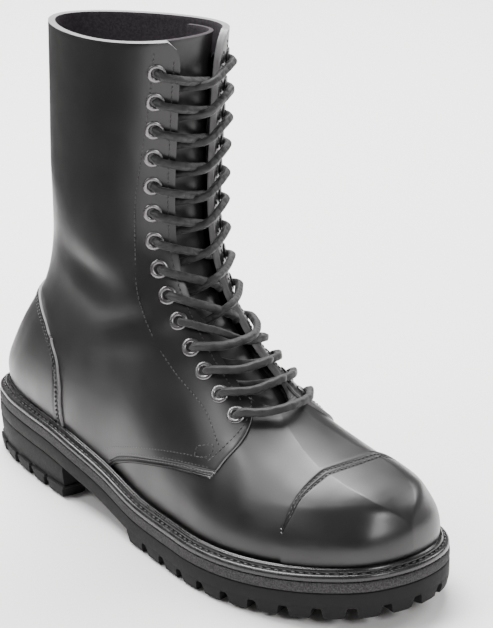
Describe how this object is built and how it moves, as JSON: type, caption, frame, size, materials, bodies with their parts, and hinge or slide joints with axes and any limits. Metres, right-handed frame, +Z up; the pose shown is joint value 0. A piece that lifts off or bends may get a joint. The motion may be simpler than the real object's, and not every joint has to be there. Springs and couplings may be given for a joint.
{
  "type": "combat boot",
  "caption": "High lace-up leather boot with a capped toe, eyelets up the front, a stitched welt and a lugged rubber sole with a heel.",
  "frame": {"origin": "on the floor under the middle of the boot's box", "axes": "+X towards the toe, +Y towards the inner side of the foot, +Z up"},
  "size_m": [0.312, 0.1084, 0.2519],
  "materials": {
    "upper_leather": "smooth semi-gloss black",
    "tongue_leather": "smooth black with a rough flesh side",
    "welt_leather": "smooth black edge, stitched",
    "midsole_rubber": "grey speckled, rough",
    "sole_rubber": "matte charcoal",
    "insole_lining": "matte suede",
    "eyelet_metal": "dark gunmetal, bright on the rim",
    "lace_cord": "braided round cord"
  },
  "bodies": {
    "root": {"outsole": "sole_rubber", "heel": "sole_rubber", "midsole": "midsole_rubber", "welt": "welt_leather", "insole": "insole_lining", "upper": "upper_leather", "tongue": "tongue_leather", "eyelet_outer_01": "eyelet_metal", "eyelet_inner_01": "eyelet_metal", "eyelet_outer_02": "eyelet_metal", "eyelet_inner_02": "eyelet_metal", "eyelet_outer_03": "eyelet_metal", "eyelet_inner_03": "eyelet_metal", "eyelet_outer_04": "eyelet_metal", "eyelet_inner_04": "eyelet_metal", "eyelet_outer_05": "eyelet_metal", "eyelet_inner_05": "eyelet_metal", "eyelet_outer_06": "eyelet_metal", "eyelet_inner_06": "eyelet_metal", "eyelet_outer_07": "eyelet_metal", "eyelet_inner_07": "eyelet_metal", "eyelet_outer_08": "eyelet_metal", "eyelet_inner_08": "eyelet_metal", "eyelet_outer_09": "eyelet_metal", "eyelet_inner_09": "eyelet_metal", "eyelet_outer_10": "eyelet_metal", "eyelet_inner_10": "eyelet_metal", "eyelet_outer_11": "eyelet_metal", "eyelet_inner_11": "eyelet_metal", "eyelet_outer_12": "eyelet_metal", "eyelet_inner_12": "eyelet_metal", "eyelet_outer_13": "eyelet_metal", "eyelet_inner_13": "eyelet_metal", "eyelet_outer_14": "eyelet_metal", "eyelet_inner_14": "eyelet_metal", "lace_01": "lace_cord", "lace_02": "lace_cord", "lace_03": "lace_cord", "lace_04": "lace_cord", "lace_05": "lace_cord", "lace_06": "lace_cord", "lace_07": "lace_cord", "lace_08": "lace_cord", "lace_09": "lace_cord", "lace_10": "lace_cord", "lace_11": "lace_cord", "lace_12": "lace_cord", "lace_13": "lace_cord", "lace_14": "lace_cord"}
  },
  "joints": []
}
